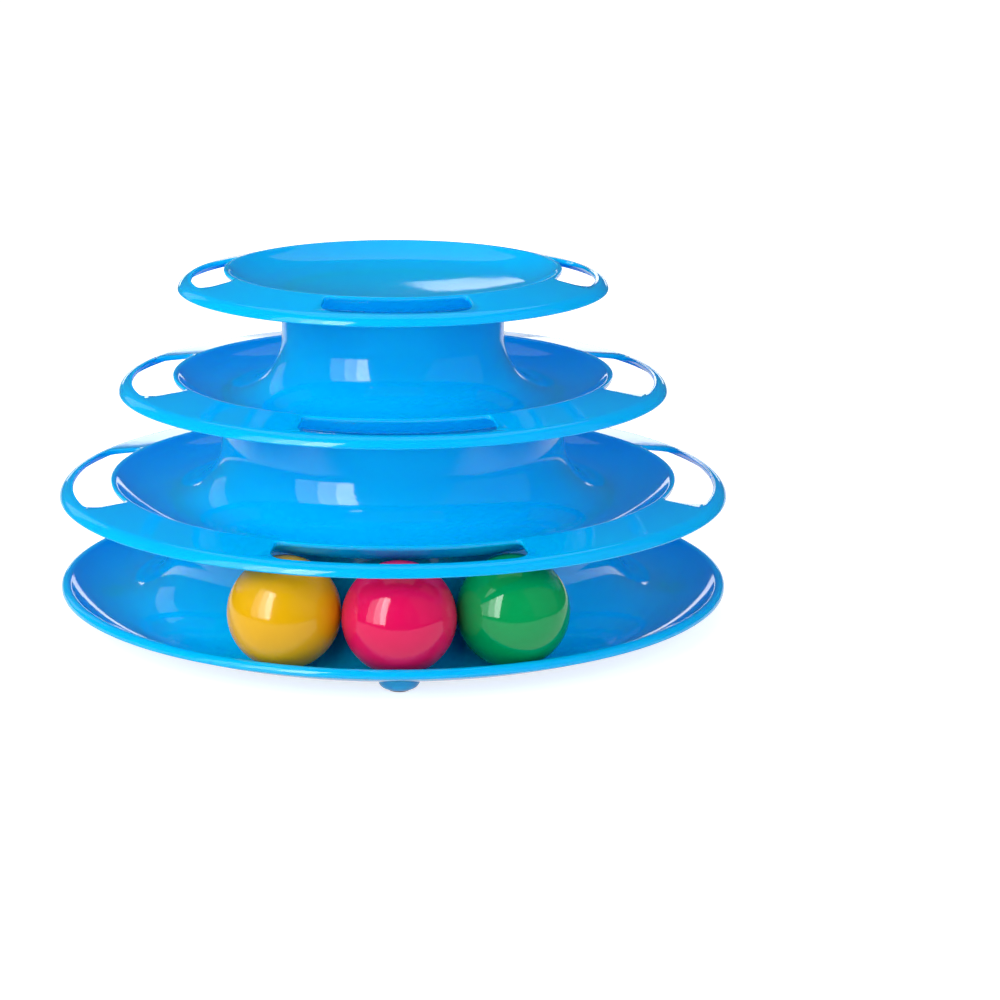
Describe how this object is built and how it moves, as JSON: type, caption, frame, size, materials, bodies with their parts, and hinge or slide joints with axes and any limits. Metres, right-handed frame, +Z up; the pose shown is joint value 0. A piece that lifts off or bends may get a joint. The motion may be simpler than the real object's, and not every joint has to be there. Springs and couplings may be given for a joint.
{
  "type": "cat ball track toy",
  "caption": "Round stacked ball track tower for a cat: open tray with loose balls, slotted track rings and a slotted top dish that lift apart.",
  "frame": {"origin": "centre of the four foot pads' undersides, on the tower's axis, at the resting surface", "axes": "+Z up along the tower's axis, -Y towards the front, where the balls lie"},
  "size_m": [0.2414, 0.2414, 0.1249],
  "materials": {
    "blue_plastic": "glossy moulded",
    "yellow_plastic": "glossy moulded",
    "pink_plastic": "glossy moulded",
    "green_plastic": "glossy moulded",
    "pad_rubber": "soft matt"
  },
  "bodies": {
    "tray": {"base_tray": "blue_plastic", "foot_pad_front": "pad_rubber", "foot_pad_right": "pad_rubber", "foot_pad_back": "pad_rubber", "foot_pad_left": "pad_rubber"},
    "lower_tier": {"lower_track": "blue_plastic"},
    "middle_tier": {"middle_track": "blue_plastic"},
    "top_tier": {"top_dish": "blue_plastic"},
    "pink_ball": {"ball_pink": "pink_plastic"},
    "yellow_ball": {"ball_yellow": "yellow_plastic"},
    "green_ball": {"ball_green": "green_plastic"}
  },
  "joints": [
    {"name": "lower_track_lift", "type": "slide", "parent": "tray", "child": "lower_tier", "axis": [0, 0, 1], "range_m": [0, 0.04]},
    {"name": "middle_track_lift", "type": "slide", "parent": "lower_tier", "child": "middle_tier", "axis": [0, 0, 1], "range_m": [0, 0.04]},
    {"name": "top_dish_lift", "type": "slide", "parent": "middle_tier", "child": "top_tier", "axis": [0, 0, 1], "range_m": [0, 0.04]},
    {"name": "pink_ball_roll", "type": "hinge", "parent": "tray", "child": "pink_ball", "pos_m": [0, 0, 0.0247], "axis": [0, 0, 1], "continuous": true},
    {"name": "yellow_ball_roll", "type": "hinge", "parent": "tray", "child": "yellow_ball", "pos_m": [0, 0, 0.0247], "axis": [0, 0, 1], "continuous": true},
    {"name": "green_ball_roll", "type": "hinge", "parent": "tray", "child": "green_ball", "pos_m": [0, 0, 0.0247], "axis": [0, 0, 1], "continuous": true}
  ],
  "couplings": [
    {"joint": "yellow_ball_roll", "follows": "pink_ball_roll", "ratio": 1},
    {"joint": "green_ball_roll", "follows": "pink_ball_roll", "ratio": 1}
  ]
}
